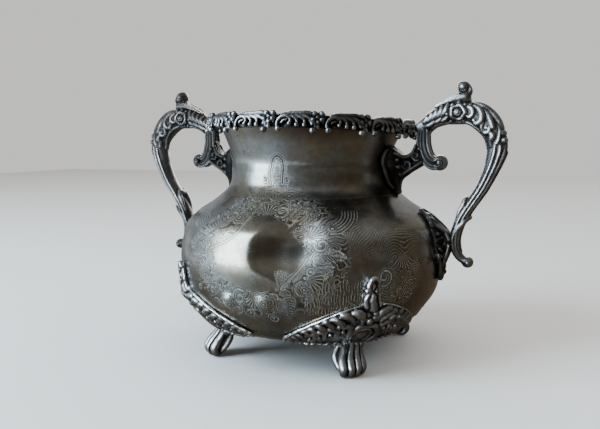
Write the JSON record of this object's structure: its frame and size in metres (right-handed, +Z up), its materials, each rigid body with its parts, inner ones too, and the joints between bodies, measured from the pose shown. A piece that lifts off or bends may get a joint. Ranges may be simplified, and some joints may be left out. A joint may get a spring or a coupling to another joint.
{
  "type": "sugar bowl",
  "caption": "Open two-handled Victorian-style silver-plated sugar bowl with a cast scroll rim, engraved dented belly, scroll handles and paw feet.",
  "frame": {"origin": "on the table under the bowl's own axis, at the middle of the box's base", "axes": "+Z up, +X through the handles, -Y out of the dented front of the belly"},
  "size_m": [0.2002, 0.1384, 0.1385],
  "materials": {
    "engraved_plate": "old silver plate, tarnished grey-brown, bright-cut engraving and fine polishing scratches",
    "plain_plate": "old silver plate, tarnished, faint horizontal spinning lines",
    "cast_border": "oxidised silver-plated casting, black recesses, worn bright high points",
    "cast_handle": "oxidised silver-plated casting, glossy, worn bright ridges",
    "cast_bracket": "oxidised silver-plated casting, nearly black relief",
    "cast_foot": "oxidised silver-plated casting, dark recesses, worn toes"
  },
  "bodies": {
    "root": {"body_shell": "engraved_plate", "neck_collar": "plain_plate", "bottom_plate": "plain_plate", "rim_border": "cast_border", "right_handle_loop": "cast_handle", "right_handle_thumb_scroll": "cast_handle", "right_handle_inner_scroll": "cast_handle", "right_handle_neck_bracket": "cast_bracket", "right_handle_body_plate": "cast_bracket", "left_handle_loop": "cast_handle", "left_handle_thumb_scroll": "cast_handle", "left_handle_inner_scroll": "cast_handle", "left_handle_neck_bracket": "cast_bracket", "left_handle_body_plate": "cast_bracket", "front_right_foot_apron": "cast_foot", "front_right_foot_paw": "cast_foot", "back_right_foot_apron": "cast_foot", "back_right_foot_paw": "cast_foot", "back_left_foot_apron": "cast_foot", "back_left_foot_paw": "cast_foot", "front_left_foot_apron": "cast_foot", "front_left_foot_paw": "cast_foot"}
  },
  "joints": []
}
